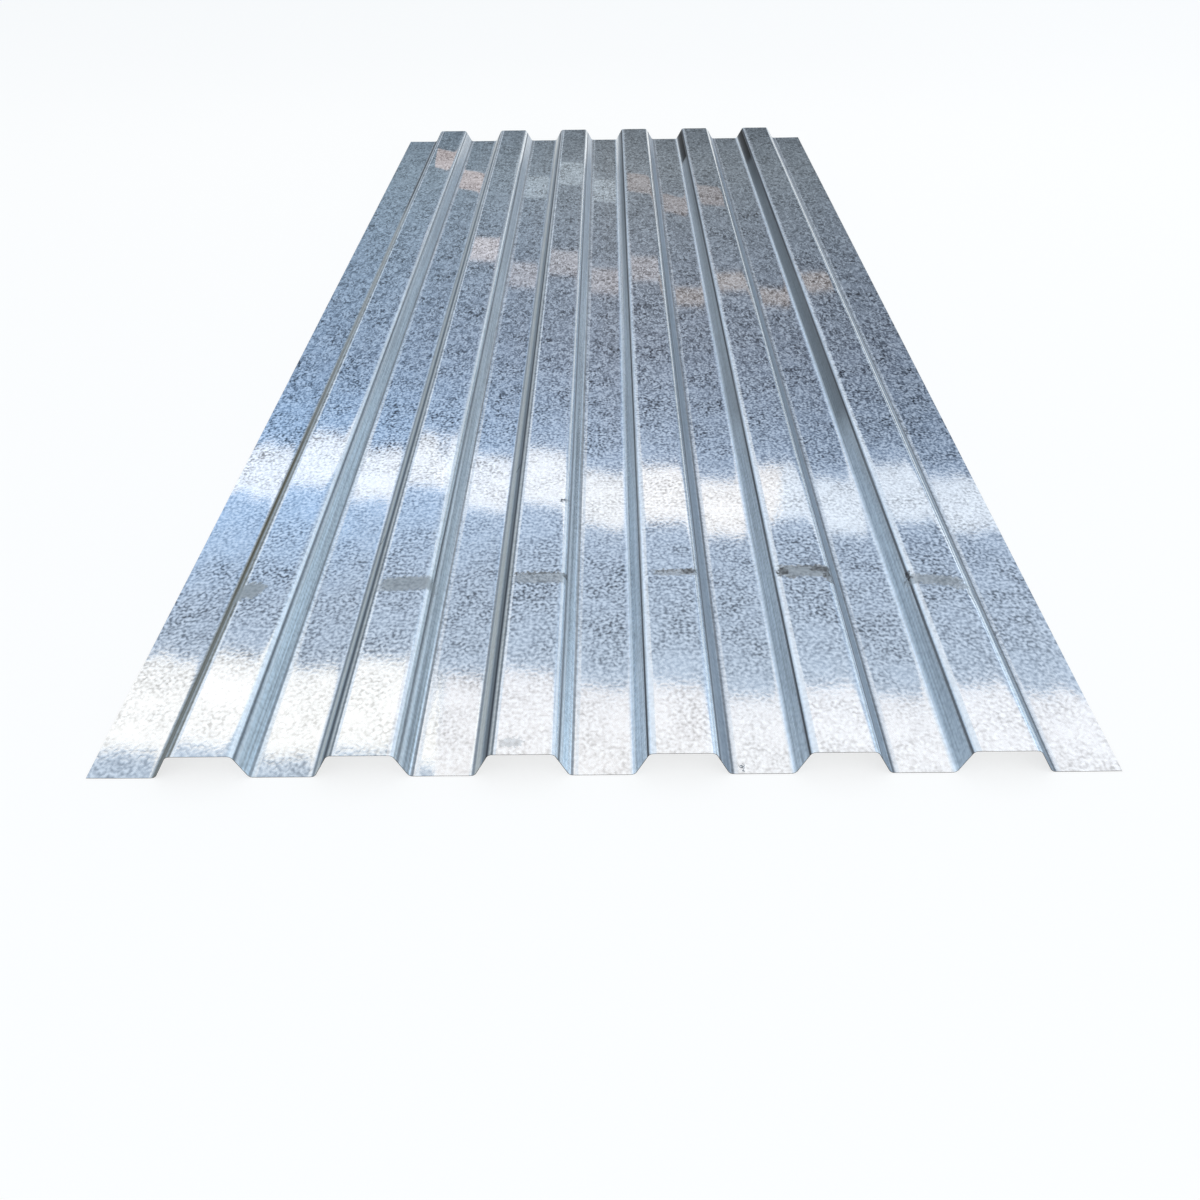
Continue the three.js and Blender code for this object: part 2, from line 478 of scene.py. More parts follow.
def handlingMarks(tree, look, at, grain):
    # where the strap and the handling rubbed: scuffs of dull grey metal, and dark clots with ragged edges
    ragged = add(tree, "ShaderNodeTexNoise", {"Vector": at["place"], "Scale": look["ragged"], "Detail": 2.0})
    shift = add(tree, "ShaderNodeVectorMath", (ragged.outputs["Color"], (0.5, 0.5, 0.5)),
                operation="SUBTRACT")
    reach = (look["raggedReach"], look["raggedReach"], 0)
    place = add(tree, "ShaderNodeVectorMath", {0: shift, 1: reach, 2: at["place"]},
                operation="MULTIPLY_ADD").outputs["Vector"]
    group = smudgeGroup()
    rub = smudged(tree, group, place, rubs)
    caught = add(tree, "ShaderNodeMapRange", (grain, *noiseLevels["caught"], *look["caught"]))
    clot = add(tree, "ShaderNodeMath", (smudged(tree, group, place, clots), caught), operation="MULTIPLY")
    return rub, clot


def zincCoat(look):
    # hot-dip galvanised steel, minimised spangle: small crinkled zinc grains, some still mirror-bright
    # and some dulled by a pale bloom of oxide. A reflection stays sharp, and the bloom breaks it up
    # into a fine mottle, pale on a dark reflection and faint on a white one. The rolls have smoothed
    # the bends and webs, and left fine streaks along them. Painted light lies on top: painted shade in
    # the pits between the grains, pale painted highlight lines and dark painted shade lines along the
    # bends, and on the webs a bluish bloom that is partly a painted sky reflection, and a painted tint
    # of reflection and shade that goes by the way each web faces.
    material = bpy.data.materials.new("hotDipGalvanisedSteel")
    material.use_nodes = True
    tree = material.node_tree
    tree.nodes.clear()
    at = placeOnSheet(tree)
    grain, mottle = grainMottle(tree, look, at)
    flatBloom, flat = flatMetal(tree, look, at, mottle)
    streaky, webBloomAndSky, web = webMetal(tree, look, at, mottle)
    bloom = add(tree, "ShaderNodeMix", {"Factor": at["formed"], 2: flatBloom, 3: webBloomAndSky})
    # painted highlight lines along the bends
    highlight = highlightLines(tree, look, at)
    paintedTint, paintedTintColour = webReflectionPaint(tree, look, at)
    # painted shade: dark lines along the bends, broken by the streaks
    bendShade = add(tree, "ShaderNodeMath", (byDistance(tree, at["fromTightRib"], bendShadeLines), streaky),
                operation="MULTIPLY")
    scuff, clot = handlingMarks(tree, look, at, grain)

    colour = add(tree, "ShaderNodeMix", {"Factor": at["formed"], 6: flat, 7: web}, data_type="RGBA")
    for share, layer in ((highlight, linear(look["paintedHighlight"])), (paintedTint, paintedTintColour),
                         (bendShade, linear(look["bendShade"])), (scuff, linear(look["scuffed"])),
                         (clot, linear(look["clot"]))):
        colour = add(tree, "ShaderNodeMix", {"Factor": share, 6: colour, 7: layer}, data_type="RGBA")

    # the painted tint, shade lines and highlight lines, and the real clots, are matte and not metallic
    dirtAndPaintedLight = paintedTint
    for share in (bendShade, highlight, clot):
        dirtAndPaintedLight = add(tree, "ShaderNodeMath", (dirtAndPaintedLight, share), operation="MAXIMUM")
    bright = add(tree, "ShaderNodeMath", (1.0, bloom), operation="SUBTRACT")
    clean = add(tree, "ShaderNodeMath", (1.0, dirtAndPaintedLight), operation="SUBTRACT")
    metallic = add(tree, "ShaderNodeMath", (bright, clean), operation="MULTIPLY")

    flatter = add(tree, "ShaderNodeMapRange", (at["y"], *alongSheet["grainsFlatten"]))
    polish = add(tree, "ShaderNodeMapRange", (flatter, 0.0, 1.0, *look["polish"]))
    onFlats = add(tree, "ShaderNodeMapRange", (bloom, 0.0, 1.0, polish, look["bloomRoughness"]))
    roughness = add(tree, "ShaderNodeMix", {"Factor": at["formed"], 2: onFlats, 3: look["formedRoughness"]})
    roughness = add(tree, "ShaderNodeMix", {"Factor": scuff, 2: roughness, 3: look["scuffRoughness"]})
    roughness = add(tree, "ShaderNodeMix", {"Factor": dirtAndPaintedLight, 2: roughness, 3: look["roughnessOfPaintAndDirt"]})
    specular = add(tree, "ShaderNodeMapRange", (paintedTint, 0.0, 1.0, *look["specular"]))

    crinkle = add(tree, "ShaderNodeMapRange", (flatter, 0.0, 1.0, *look["crinkle"]))
    height = add(tree, "ShaderNodeMath", (mottle, crinkle), operation="MULTIPLY")
    unformed = add(tree, "ShaderNodeMath", (1.0, at["formed"]), operation="SUBTRACT")
    height = add(tree, "ShaderNodeMath", (height, unformed), operation="MULTIPLY")
    bump = add(tree, "ShaderNodeBump", {"Height": height, "Distance": 1.0, "Strength": 1.0})

    surface = add(tree, "ShaderNodeBsdfPrincipled",
                  {"Base Color": colour, "Metallic": metallic, "Roughness": roughness,
                   "Specular IOR Level": specular, "Normal": bump})
    add(tree, "ShaderNodeOutputMaterial", {"Surface": surface})
    return material


edgeLook = {
    "pale": "#6E6A64",
    "dark": "#35322E",
    "tears": 900.0,  # to the metre
    "roughness": 0.5,
}


def cutSteel(look):
    # the sheared edge: bare steel, torn rough by the blade and gone dull
    material = bpy.data.materials.new("shearedSteelEdge")
    material.use_nodes = True
    tree = material.node_tree
    tree.nodes.clear()
    place = add(tree, "ShaderNodeTexCoord").outputs["Object"]
    tear = add(tree, "ShaderNodeTexNoise", {"Vector": place, "Scale": look["tears"], "Detail": 2.0})
    colour = add(tree, "ShaderNodeMix", {"Factor": tear, 6: linear(look["dark"]), 7: linear(look["pale"])},
                 data_type="RGBA")
    surface = add(tree, "ShaderNodeBsdfPrincipled",
                  {"Base Color": colour, "Metallic": 1.0, "Roughness": look["roughness"]})
    add(tree, "ShaderNodeOutputMaterial", {"Surface": surface})
    return material


# sheet: the mill's own sizes, with the length, the width and the height taken from the frame

low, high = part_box("corrugated_sheet")
hair = 0.02 * mm  # the mesh stays this much inside the frame's box
sheetSizes = {
    "Length": high.y - low.y - hair,
    "Width": high.x - low.x - hair,
    "Height": high.z - low.z,
    "Thickness": 0.5 * mm,
    "Rib Count": 6,
    "Pitch": 150 * mm,
    "Crest Width": 61.5 * mm,  # between sharp corners
    "Web Run": 13.5 * mm,
    "Bend Radius": 5 * mm,
    "Bend Steps": 5,
    "Flat Step": 5 * mm,
    "Rows": 146,
    "Gather": 0.5,  # how much closer the columns stand beside the bends
    "Droop": 0.5 * mm,  # how far the flats roll off towards their bends
    "Droop Reach": 10 * mm,
    "Droop Power": 3.0,  # how late it sets in
    "Ripple": 0.25 * mm,
    "Ripple Start": 10 * mm,  # from a crest's middle
    "Seed": 7.0,
    "Edge Wave": 0.7 * mm,
    "Edge Place": 109 * mm,  # from the last rib's middle
    "Edge Waves": 1.3,  # how many to each of the ripple's
    "Edge Seed": 3.0,
    "Formed Fade": 6 * mm,  # how far past the bends the rolls have left their look
}
rippleWaves = (11, 4.5, 0)  # to the metre, across and along
halfFlat = 27.77 * mm  # from the middle of a crest or a pan to where its bend starts
# share of the rows, and of the length that they cover
rowSpread = ((0, 0), (0.09, 0.085), (0.19, 0.175), (0.31, 0.215), (0.40, 0.30), (1, 1))
dents = [  # mm: across, along, half width, half length, turn in degrees, push across, push up
    (344.2, -912, 7, 15, 0, 1.4, -2.2),
    (345.0, -958, 5, 28, 0, 0.5, -0.7),
    (405.0, -942, 5, 11, 0, -0.8, -0.8),
    (-195.0, -817, 5, 9, 0, -0.6, -0.8),
    (151.4, -713, 4, 80, -0.6, 0, 0.12),
    (387.5, -718, 5, 70, -2.2, 0, -0.14),
    (203.4, -718, 4, 90, -5.9, 0, -0.10),
]


def dentGroup():
    # a shallow push, bell-shaped across and along
    tree = bpy.data.node_groups.new("dent", "GeometryNodeTree")
    tree.interface.new_socket("Push", in_out="OUTPUT", socket_type="NodeSocketVector")
    for name in ("Centre", "Half Size", "Depth"):
        tree.interface.new_socket(name, in_out="INPUT", socket_type="NodeSocketVector")
    tree.interface.new_socket("Turn", in_out="INPUT", socket_type="NodeSocketFloat")
    dent = add(tree, "NodeGroupInput").outputs
    away = add(tree, "ShaderNodeVectorMath", (add(tree, "GeometryNodeInputPosition"), dent["Centre"]),
               operation="SUBTRACT")
    back = add(tree, "ShaderNodeMath", (dent["Turn"], -1.0), operation="MULTIPLY")
    turned = add(tree, "ShaderNodeVectorRotate", {"Vector": away, "Angle": back}, rotation_type="Z_AXIS")
    share = add(tree, "ShaderNodeVectorMath", (turned, dent["Half Size"]), operation="DIVIDE")
    square = add(tree, "ShaderNodeVectorMath", (share, share), operation="DOT_PRODUCT").outputs["Value"]
    fall = add(tree, "ShaderNodeMath", (square, -1.0), operation="MULTIPLY")
    bell = add(tree, "ShaderNodeMath", (fall,), operation="EXPONENT")
    push = add(tree, "ShaderNodeVectorMath", {0: dent["Depth"], "Scale": bell}, operation="SCALE")
    add(tree, "NodeGroupOutput", (push,))
    return tree


def inRib(tree, size):
    # the distance from the nearest rib's centre line, and on which side of it
    place = add(tree, "ShaderNodeSeparateXYZ", (add(tree, "GeometryNodeInputPosition"),))
    lastRib = add(tree, "ShaderNodeMath", (size["Rib Count"], 1.0), operation="SUBTRACT")
    middleRib = add(tree, "ShaderNodeMath", (lastRib, 0.5), operation="MULTIPLY")
    inPitches = add(tree, "ShaderNodeMath", (place.outputs["X"], size["Pitch"]), operation="DIVIDE")
    shifted = add(tree, "ShaderNodeMath", (inPitches, middleRib), operation="ADD")
    nearest = add(tree, "ShaderNodeMath", (shifted,), operation="ROUND")
    rib = add(tree, "ShaderNodeClamp", {"Value": nearest, "Max": lastRib})
    off = add(tree, "ShaderNodeMath", (shifted, rib), operation="SUBTRACT")
    fromCentre = add(tree, "ShaderNodeMath", (off, size["Pitch"]), operation="MULTIPLY")
    across = add(tree, "ShaderNodeMath", (fromCentre,), operation="ABSOLUTE")
    side = add(tree, "ShaderNodeMath", (fromCentre,), operation="SIGN")
    return across, side


def gatheredColumns(tree, size, section):
    # moves a flat's points towards its bends, where its shape changes most
    across, side = inRib(tree, size)
    middle = add(tree, "ShaderNodeMath", (size["Pitch"], 0.5), operation="MULTIPLY")
    fromPan = add(tree, "ShaderNodeMath", (middle, across), operation="SUBTRACT")
    shifts = []
    for start in (across, fromPan):
        turn = add(tree, "ShaderNodeMapRange", (start, 0.0, halfFlat, 0.0, math.pi))
        shifts.append(add(tree, "ShaderNodeMath", (turn,), operation="SINE"))
    share = add(tree, "ShaderNodeMath", (shifts[0], shifts[1]), operation="SUBTRACT")
    signed = add(tree, "ShaderNodeMath", (share, side), operation="MULTIPLY")
    gather = add(tree, "ShaderNodeMath", (size["Gather"], halfFlat / math.pi), operation="MULTIPLY")
    move = add(tree, "ShaderNodeMath", (signed, gather), operation="MULTIPLY")
    return add(tree, "GeometryNodeSetPosition",
               {"Geometry": section, "Offset": add(tree, "ShaderNodeCombineXYZ", (move,))})


def sectionCurve(tree, size):
    # a point at each side edge and four corners for each rib, placed by their number in the row, and
    # then the bends rounded
    depth = add(tree, "ShaderNodeMath", (size["Height"], size["Thickness"]), operation="SUBTRACT")
    points = add(tree, "ShaderNodeMath", (size["Rib Count"], 4.0, 2.0), operation="MULTIPLY_ADD")
    row = add(tree, "GeometryNodeMeshLine", {"Count": points})
    number = add(tree, "ShaderNodeMath", (add(tree, "GeometryNodeInputIndex"), 1.0), operation="SUBTRACT")
    quarter = add(tree, "ShaderNodeMath", (number, 4.0), operation="DIVIDE")
    rib = add(tree, "ShaderNodeMath", (quarter,), operation="FLOOR")
    corner = add(tree, "ShaderNodeMath", (number, 4.0), operation="FLOORED_MODULO")
    fromMiddle = add(tree, "ShaderNodeMath", (corner, 1.5), operation="SUBTRACT")
    side = add(tree, "ShaderNodeMath", (fromMiddle,), operation="SIGN")
    distance = add(tree, "ShaderNodeMath", (fromMiddle,), operation="ABSOLUTE")
    isFoot = add(tree, "ShaderNodeMath", (distance, 1.0), operation="GREATER_THAN")
    isShoulder = add(tree, "ShaderNodeMath", (1.0, isFoot), operation="SUBTRACT")
    halfCrest = add(tree, "ShaderNodeMath", (size["Crest Width"], 0.5), operation="MULTIPLY")
    reach = add(tree, "ShaderNodeMath", (isFoot, size["Web Run"], halfCrest), operation="MULTIPLY_ADD")
    lastRib = add(tree, "ShaderNodeMath", (size["Rib Count"], 1.0), operation="SUBTRACT")
    middleRib = add(tree, "ShaderNodeMath", (lastRib, 0.5), operation="MULTIPLY")
    ribPlace = add(tree, "ShaderNodeMath", (rib, middleRib), operation="SUBTRACT")
    ribCentre = add(tree, "ShaderNodeMath", (ribPlace, size["Pitch"]), operation="MULTIPLY")
    across = add(tree, "ShaderNodeMath", (side, reach, ribCentre), operation="MULTIPLY_ADD")
    # the sweep turns the section over, so it is drawn upside down
    down = add(tree, "ShaderNodeMath", (isShoulder, depth), operation="MULTIPLY")
    up = add(tree, "ShaderNodeMath", (down, -1.0), operation="MULTIPLY")
    corners = add(tree, "GeometryNodeSetPosition",
                  {"Geometry": row, "Position": add(tree, "ShaderNodeCombineXYZ", (across, up))})
    line = add(tree, "GeometryNodeMeshToCurve", (corners,))
    end = add(tree, "ShaderNodeSeparateXYZ", (add(tree, "GeometryNodeInputPosition"),))
    endSide = add(tree, "ShaderNodeMath", (end.outputs["X"],), operation="SIGN")
    halfWidth = add(tree, "ShaderNodeMath", (size["Width"], 0.5), operation="MULTIPLY")
    edge = add(tree, "ShaderNodeMath", (endSide, halfWidth), operation="MULTIPLY")
    wide = add(tree, "GeometryNodeSetPosition",
               {"Geometry": line, "Selection": add(tree, "GeometryNodeCurveEndpointSelection"),
                "Position": add(tree, "ShaderNodeCombineXYZ", (edge,))})
    bent = add(tree, "GeometryNodeFilletCurve",
               {"Curve": wide, "Count": size["Bend Steps"], "Radius": size["Bend Radius"]}, mode="POLY")
    here = add(tree, "GeometryNodeInputPosition")
    after = add(tree, "ShaderNodeMath", (add(tree, "GeometryNodeInputIndex"), 1.0), operation="ADD")
    there = add(tree, "GeometryNodeFieldAtIndex", {"Value": here, "Index": after}, data_type="FLOAT_VECTOR")
    gap = add(tree, "ShaderNodeVectorMath", (here, there), operation="DISTANCE").outputs["Value"]
    cuts = add(tree, "ShaderNodeMath", (gap, size["Flat Step"]), operation="DIVIDE")
    fine = add(tree, "GeometryNodeSubdivideCurve", {"Curve": bent, "Cuts": cuts})
    return gatheredColumns(tree, size, fine)


def rolledSurface(tree, size, section):
    # the section swept along the sheet, with rows bunched together where the strap dented it
    halfLength = add(tree, "ShaderNodeMath", (size["Length"], 0.5), operation="MULTIPLY")
    line = add(tree, "GeometryNodeCurvePrimitiveLine", {"End": (0, 1, 0)})  # its points are placed below
    rows = add(tree, "GeometryNodeResampleCurve", {"Curve": line, "Count": size["Rows"]})
    along = add(tree, "GeometryNodeSplineParameter").outputs["Factor"]
    spread = add(tree, "ShaderNodeFloatCurve", {"Value": along})
    curve = spread.mapping.curves[0]
    curve.points[0].location = rowSpread[0]
    curve.points[1].location = rowSpread[-1]
    for point in rowSpread[1:-1]:
        curve.points.new(*point)
    spread.mapping.update()
    front = add(tree, "ShaderNodeMath", (halfLength, -1.0), operation="MULTIPLY")
    y = add(tree, "ShaderNodeMapRange", (spread, 0.0, 1.0, front, halfLength))
    z = add(tree, "ShaderNodeMath", (size["Thickness"], 0.5), operation="MULTIPLY")
    spaced = add(tree, "GeometryNodeSetPosition",
                 {"Geometry": rows, "Position": add(tree, "ShaderNodeCombineXYZ", (None, y, z))})
    return add(tree, "GeometryNodeCurveToMesh", {"Curve": spaced, "Profile Curve": section})


def formingMarks(tree, size, surface):
    # what rolling and handling leave: flats that roll off to their bends, a slow ripple, dents
    across, side = inRib(tree, size)
    shoulder = add(tree, "ShaderNodeMath", (size["Crest Width"], 0.5), operation="MULTIPLY")
    foot = add(tree, "ShaderNodeMath", (shoulder, size["Web Run"]), operation="ADD")

    webShare = add(tree, "ShaderNodeMapRange", (across, shoulder, foot))
    droopFrom = add(tree, "ShaderNodeMath", (shoulder, size["Droop Reach"]), operation="SUBTRACT")
    droopTo = add(tree, "ShaderNodeMath", (foot, size["Droop Reach"]), operation="ADD")
    crestSide = add(tree, "ShaderNodeMapRange", (across, droopFrom, shoulder))
    panSide = add(tree, "ShaderNodeMapRange", (across, droopTo, foot))
    falls = add(tree, "ShaderNodeMath", (crestSide, size["Droop Power"]), operation="POWER")
    rises = add(tree, "ShaderNodeMath", (panSide, size["Droop Power"]), operation="POWER")
    down = add(tree, "ShaderNodeMath", (falls, -1.0), operation="MULTIPLY")
    roll = add(tree, "ShaderNodeMix", {"Factor": webShare, 2: down, 3: rises})
    droop = add(tree, "ShaderNodeMath", (roll, size["Droop"]), operation="MULTIPLY")

    crestShare = add(tree, "ShaderNodeMapRange", (across, shoulder, size["Ripple Start"]),
                     interpolation_type="SMOOTHSTEP")
    middle = add(tree, "ShaderNodeMath", (size["Pitch"], 0.5), operation="MULTIPLY")
    panShare = add(tree, "ShaderNodeMapRange", (across, foot, middle), interpolation_type="SMOOTHSTEP")
    stretched = add(tree, "ShaderNodeVectorMath", (add(tree, "GeometryNodeInputPosition"), rippleWaves),
                    operation="MULTIPLY")
    noise = add(tree, "ShaderNodeTexNoise",
                {"Vector": stretched, "W": size["Seed"], "Scale": 1.0, "Detail": 2.0, "Roughness": 0.45},
                noise_dimensions="4D")
    lift = add(tree, "ShaderNodeMath", (panShare, crestShare), operation="SUBTRACT")
    wavy = add(tree, "ShaderNodeMath", (lift, noise.outputs["Fac"]), operation="MULTIPLY")
    ripple = add(tree, "ShaderNodeMath", (wavy, size["Ripple"], droop), operation="MULTIPLY_ADD")

    outer = add(tree, "ShaderNodeMapRange", (across, middle, size["Edge Place"]),
                interpolation_type="SMOOTHSTEP")
    edgeNoise = add(tree, "ShaderNodeTexNoise",
                    {"Vector": stretched, "W": size["Edge Seed"], "Scale": size["Edge Waves"], "Detail": 1.0},
                    noise_dimensions="4D")
    lifted = add(tree, "ShaderNodeMath", (outer, edgeNoise.outputs["Fac"]), operation="MULTIPLY")
    height = add(tree, "ShaderNodeMath", (lifted, size["Edge Wave"], ripple), operation="MULTIPLY_ADD")

    offset = add(tree, "ShaderNodeCombineXYZ", (None, None, height))
    group = dentGroup()
    pitch = sheetSizes["Pitch"]
    halfRib = sheetSizes["Crest Width"] / 2 + sheetSizes["Web Run"]
    for x, y, halfWidth, halfLength, turn, pushAcross, pushUp in dents:
        onRib = abs(x * mm % pitch - pitch / 2) < halfRib
        dent = add(tree, "GeometryNodeGroup",
                   {"Centre": (x * mm, y * mm, high.z if onRib else 0),
                    "Half Size": (halfWidth * mm, halfLength * mm, 1),
                    "Depth": (pushAcross * mm, 0, pushUp * mm), "Turn": math.radians(turn)},
                   node_tree=group)
        offset = add(tree, "ShaderNodeVectorMath", (offset, dent), operation="ADD")

    formedFrom = add(tree, "ShaderNodeMath", (shoulder, size["Formed Fade"]), operation="SUBTRACT")
    formedTo = add(tree, "ShaderNodeMath", (foot, size["Formed Fade"]), operation="ADD")
    formedIn = add(tree, "ShaderNodeMapRange", (across, formedFrom, shoulder),
                   interpolation_type="SMOOTHSTEP")
    formedOut = add(tree, "ShaderNodeMapRange", (across, foot, formedTo), interpolation_type="SMOOTHSTEP")
    formed = add(tree, "ShaderNodeMath", (formedIn, formedOut), operation="SUBTRACT")
    # the zinc's look goes by these
    for name, value in (("formed", formed), ("across", across), ("side", side)):
        surface = add(tree, "GeometryNodeStoreNamedAttribute",
                      {"Geometry": surface, "Name": name, "Value": value}, data_type="FLOAT", domain="POINT")
    return add(tree, "GeometryNodeSetPosition", {"Geometry": surface, "Offset": offset})


seamGap = 0.02 * mm  # points closer than this are one
crispAngle = math.radians(50)  # only the sheared rim turns more sharply


def sheetTree(sizes, zinc, edge):
    tree = bpy.data.node_groups.new("rolledSheet", "GeometryNodeTree")
    tree.interface.new_socket("Sheet", in_out="OUTPUT", socket_type="NodeSocketGeometry")
    for name, value in sizes.items():
        kind = "NodeSocketInt" if isinstance(value, int) else "NodeSocketFloat"
        tree.interface.new_socket(name, in_out="INPUT", socket_type=kind)
    size = add(tree, "NodeGroupInput").outputs
    section = sectionCurve(tree, size)
    surface = rolledSurface(tree, size, section)
    formed = formingMarks(tree, size, surface)
    # the metal lies half above and half below that surface
    half = add(tree, "ShaderNodeMath", (size["Thickness"], -0.5), operation="MULTIPLY")
    inward = add(tree, "ShaderNodeVectorMath", {0: add(tree, "GeometryNodeInputNormal"), "Scale": half},
                 operation="SCALE")
    under = add(tree, "GeometryNodeSetPosition", {"Geometry": formed, "Offset": inward})
    upper = add(tree, "GeometryNodeExtrudeMesh",
                {"Mesh": under, "Offset Scale": size["Thickness"], "Individual": False})
    lower = add(tree, "GeometryNodeFlipFaces", (under,))
    both = add(tree, "GeometryNodeJoinGeometry")
    tree.links.new(lower.outputs[0], both.inputs[0])
    tree.links.new(upper.outputs["Mesh"], both.inputs[0])
    closed = add(tree, "GeometryNodeMergeByDistance", {"Geometry": both, "Distance": seamGap})
    smooth = add(tree, "GeometryNodeSetShadeSmooth", {"Geometry": closed, "Shade Smooth": True})
    angle = add(tree, "GeometryNodeInputMeshEdgeAngle").outputs["Unsigned Angle"]
    isRim = add(tree, "ShaderNodeMath", (angle, crispAngle), operation="GREATER_THAN")
    crisp = add(tree, "GeometryNodeSetShadeSmooth",
                {"Geometry": smooth, "Selection": isRim, "Shade Smooth": False}, domain="EDGE")
    real = add(tree, "GeometryNodeRealizeInstances", (crisp,))
    zinced = add(tree, "GeometryNodeSetMaterial", {"Geometry": real, "Material": zinc})
    rimmed = add(tree, "GeometryNodeSetMaterial",
                 {"Geometry": zinced, "Selection": upper.outputs["Side"], "Material": edge})
    add(tree, "NodeGroupOutput", (rimmed,))
    return tree


def makeSheet(sizes, zinc, edge):
    tree = sheetTree(sizes, zinc, edge)
    raw = bpy.data.objects.new("sheetDraft", bpy.data.meshes.new("sheetDraft"))
    bpy.context.scene.collection.objects.link(raw)
    modifier = raw.modifiers.new("rolledSheet", "NODES")
    modifier.node_group = tree
    for item in tree.interface.items_tree:
        if item.in_out == "INPUT":
            modifier[item.identifier] = sizes[item.name]
    seen = raw.evaluated_get(bpy.context.evaluated_depsgraph_get())
    mesh = bpy.data.meshes.new_from_object(seen)
    mesh.materials.pop(index=0)  # the empty slot that the tree's own mesh starts with
    mesh.name = "galvanised_sheet"
    bpy.data.objects.remove(raw)
    sheet = bpy.data.objects.new("galvanised_sheet", mesh)
    bpy.context.scene.collection.objects.link(sheet)
    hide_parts("corrugated_sheet")
    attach(sheet, "root")
    return sheet


sheet = makeSheet(sheetSizes, zincCoat(zincLook), cutSteel(edgeLook))
triangles = sum(len(face.vertices) - 2 for face in sheet.data.polygons)
print("sheet made:", len(sheet.data.vertices), "vertices,", triangles, "triangles")


# floor and light

studio = {
    "floorReach": 60,  # m
    "floorColour": "#FBF9F4",
    "floorGap": 0.2 * mm,
    "floorGlow": 0.72,  # how much of it is white by itself
}


def makeFloor(look):
    reach = look["floorReach"]
    mesh = bpy.data.meshes.new("floor")
    mesh.from_pydata([(-reach, -reach, 0), (reach, -reach, 0), (reach, reach, 0), (-reach, reach, 0)],
                     [], [(0, 1, 2, 3)])
    floor = bpy.data.objects.new("floor", mesh)
    floor.location.z = -look["floorGap"]
    bpy.context.scene.collection.objects.link(floor)
    material = bpy.data.materials.new("mattStudioPaper")
    material.use_nodes = True
    tree = material.node_tree
    tree.nodes.clear()
    paper = add(tree, "ShaderNodeBsdfDiffuse", {"Color": linear(look["floorColour"])})
    # seen straight, mirrored or through glass it is partly white by itself, and the rest keeps its shadow
    white = add(tree, "ShaderNodeEmission", {"Color": linear("#FFFFFF"), "Strength": 1.0})
    ray = add(tree, "ShaderNodeLightPath").outputs
    seen = add(tree, "ShaderNodeMath", (ray["Is Camera Ray"], ray["Is Glossy Ray"]), operation="MAXIMUM")
    seen = add(tree, "ShaderNodeMath", (seen, ray["Is Transmission Ray"]), operation="MAXIMUM")
    share = add(tree, "ShaderNodeMath", (seen, look["floorGlow"]), operation="MULTIPLY")
    mixed = add(tree, "ShaderNodeMixShader", (share, paper, white))
    add(tree, "ShaderNodeOutputMaterial", {"Surface": mixed})
    mesh.materials.append(material)


sky = {
    # by height, as the sine of the climb: dark haze, grey, blue and a pale top
    "climb": [
        (0.19, "#404850"), (0.25, "#80868C"), (0.37, "#8890A0"), (0.45, "#A8B8D0"), (0.60, "#B8C4D4"),
        (0.70, "#C0C8D0"), (1.00, "#B8B8B8"),
    ],
    "leftTint": (1.05, 1.3, 1.5),  # bluer low on the left, and darker low on the right
    "rightTint": (0.65, 0.70, 0.75),
    "tintEnds": (0.43, 0.52),
    "strength": 1.6,  # times the colours above
    "sideReach": 0.22,
    "leftFlank": (0.59, 0.72, 0.87),  # far out to each side, where only the webs look
    "rightFlank": (0.86, 1.07, 1.28),
    "flankReach": (0.44, 0.58),
    "horizon": "#EEEFF0",
    "horizonHeight": (0.15, 0.19),
}


def skyRamp(tree, height, steps):
    ramp = add(tree, "ShaderNodeValToRGB", (height,))
    elements = ramp.color_ramp.elements
    for element, (place, colour) in zip(elements, (steps[0], steps[-1])):
        element.position, element.color = place, linear(colour)
    for place, colour in steps[1:-1]:
        elements.new(place).color = linear(colour)
    return ramp.outputs["Color"]


def makeWorld(look):
    world = bpy.data.worlds.new("studio")
    world.use_nodes = True
    bpy.context.scene.world = world
    tree = world.node_tree
    tree.nodes.clear()
    way = add(tree, "ShaderNodeSeparateXYZ", (add(tree, "ShaderNodeTexCoord").outputs["Generated"],))
    climb = skyRamp(tree, way.outputs["Z"], look["climb"])
    low = add(tree, "ShaderNodeMapRange", (way.outputs["Z"], *look["tintEnds"], 1.0, 0.0))
    ahead = climb
    for reach, tint in ((-look["sideReach"], look["leftTint"]), (look["sideReach"], look["rightTint"])):
        aside = add(tree, "ShaderNodeMapRange", (way.outputs["X"], 0.0, reach))
        share = add(tree, "ShaderNodeMath", (aside, low), operation="MULTIPLY")
        tinted = add(tree, "ShaderNodeVectorMath", (climb, tint), operation="MULTIPLY")
        ahead = add(tree, "ShaderNodeMix", {"Factor": share, 6: ahead, 7: tinted}, data_type="RGBA")
    ahead = add(tree, "ShaderNodeVectorMath", {0: ahead, "Scale": look["strength"]}, operation="SCALE")
    facesRight = add(tree, "ShaderNodeMath", (way.outputs["X"], 0.0), operation="GREATER_THAN")
    flanks = add(tree, "ShaderNodeMix",
                 {"Factor": facesRight, 6: (*look["leftFlank"], 1), 7: (*look["rightFlank"], 1)},
                 data_type="RGBA")
    outward = add(tree, "ShaderNodeMath", (way.outputs["X"],), operation="ABSOLUTE")
    flank = add(tree, "ShaderNodeMapRange", (outward, *look["flankReach"]), interpolation_type="SMOOTHSTEP")
    around = add(tree, "ShaderNodeMix", {"Factor": flank, 6: ahead, 7: flanks}, data_type="RGBA")
    risen = add(tree, "ShaderNodeMapRange", (way.outputs["Z"], *look["horizonHeight"]))
    whole = add(tree, "ShaderNodeMix",
                {"Factor": risen, 6: linear(look["horizon"]), 7: around}, data_type="RGBA")
    glow = add(tree, "ShaderNodeBackground", {"Color": whole, "Strength": 1.0})
    add(tree, "ShaderNodeOutputWorld", {"Surface": glow})


